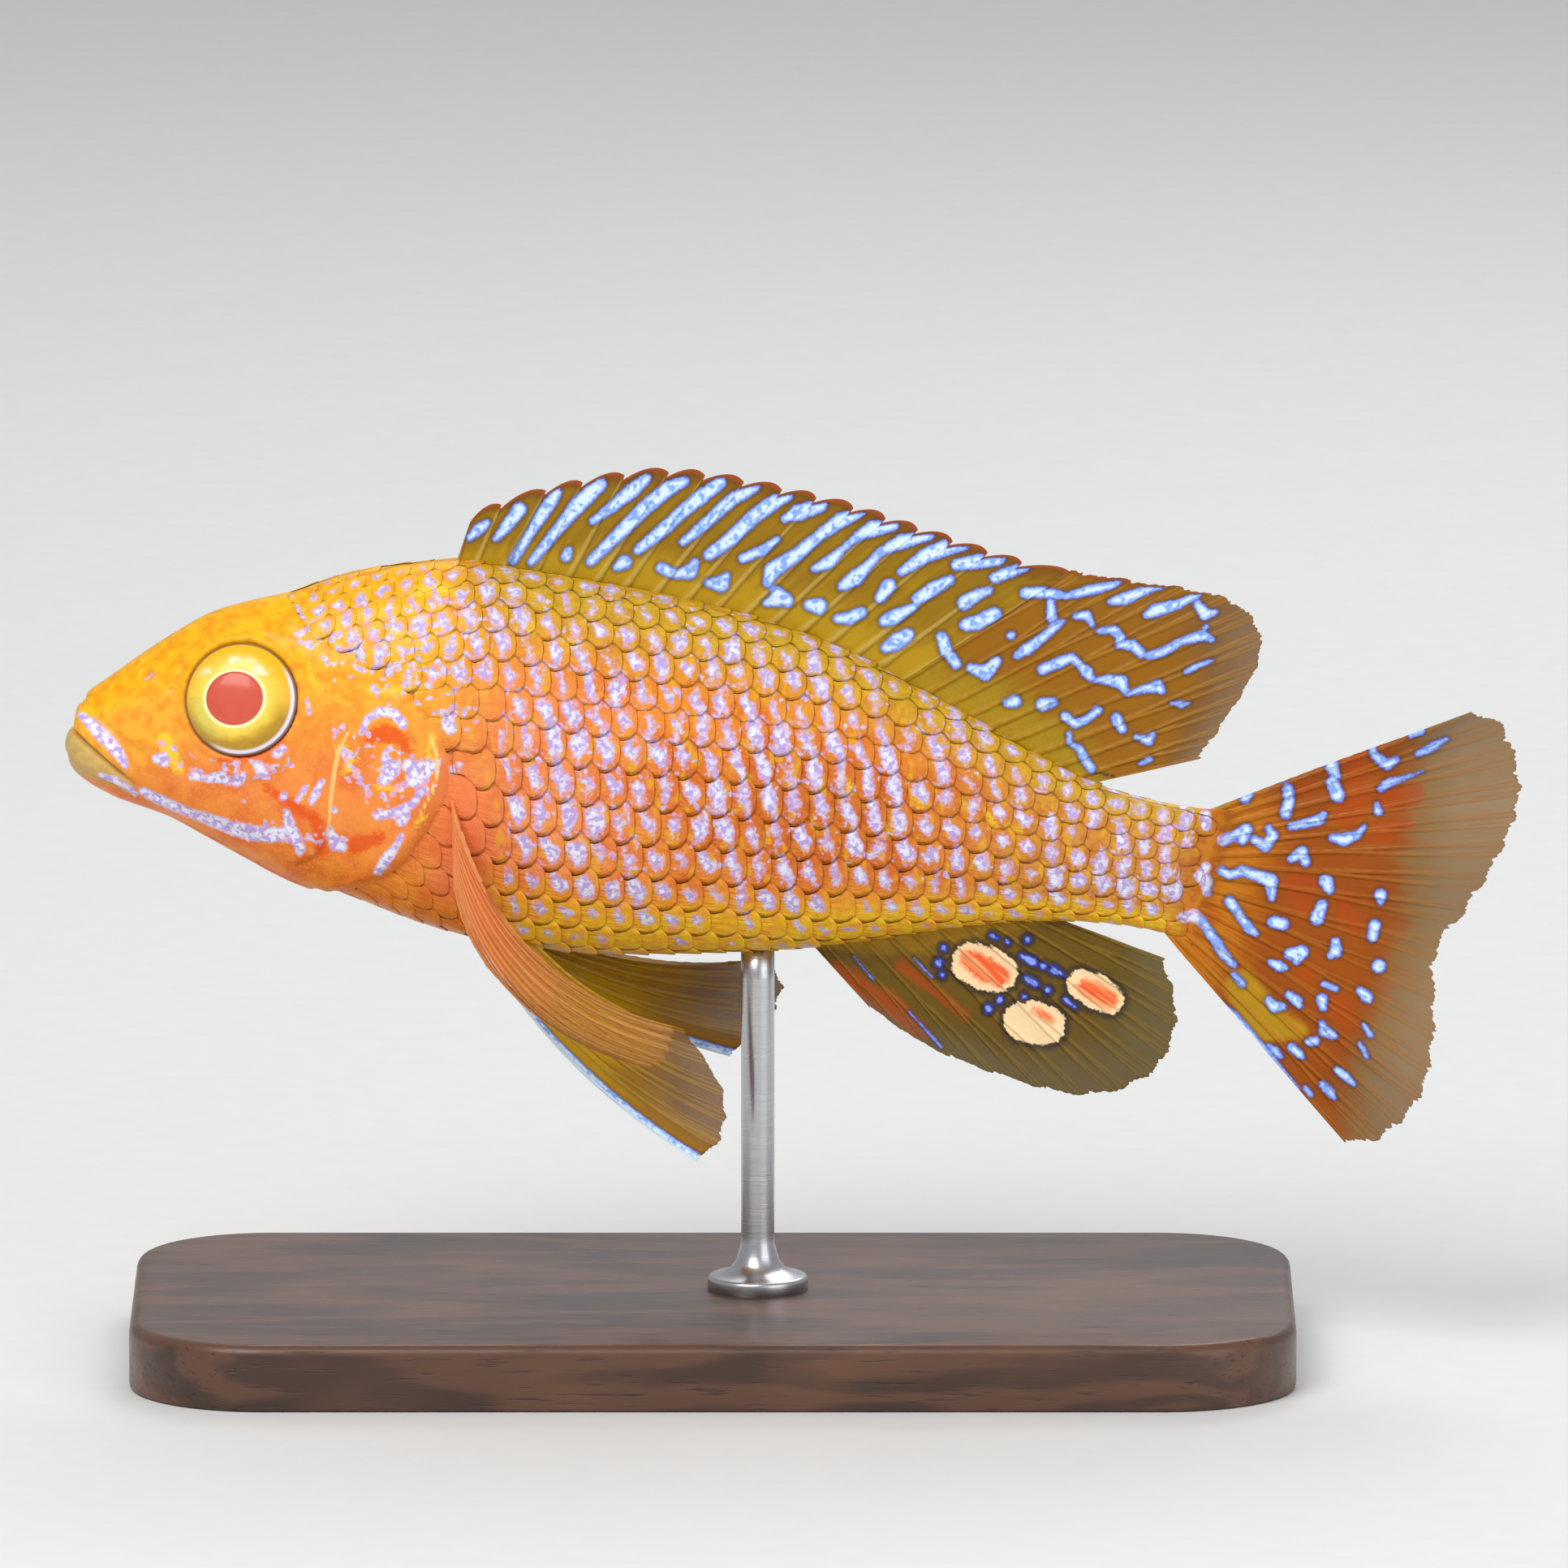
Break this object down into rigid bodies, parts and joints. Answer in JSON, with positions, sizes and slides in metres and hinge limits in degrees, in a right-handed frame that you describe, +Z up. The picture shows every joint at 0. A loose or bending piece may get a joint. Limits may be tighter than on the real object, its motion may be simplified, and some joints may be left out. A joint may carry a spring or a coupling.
{
  "type": "peacock cichlid on a display stand",
  "caption": "Life-size still model of an adult peacock cichlid with spread, rayed fins, held over a flat rounded base by one upright rod.",
  "frame": {"origin": "on the floor, under the middle of the model's bounding box, at the level of the stand's underside", "axes": "+Z up, the head points to -X and the tail to +X, the left flank faces -Y"},
  "size_m": [0.1303, 0.054, 0.0805],
  "materials": {
    "skin": "wet, scaled fish skin",
    "fin": "thin translucent membrane with rays",
    "eye": "clear, wet gloss",
    "base_wood": "satin, dark walnut",
    "rod_steel": "satin"
  },
  "bodies": {
    "root": {"head": "skin", "lower_jaw": "skin", "gill_cover_left": "skin", "gill_cover_right": "skin", "trunk": "skin", "tail_stem": "skin", "eye_left": "eye", "eye_right": "eye", "dorsal_fin_spiny": "fin", "dorsal_fin_soft": "fin", "anal_fin": "fin", "caudal_fin": "fin", "pectoral_fin_left": "fin", "pectoral_fin_right": "fin", "pelvic_fin_left": "fin", "pelvic_fin_right": "fin", "stand_base": "base_wood", "stand_rod": "rod_steel"}
  },
  "joints": []
}
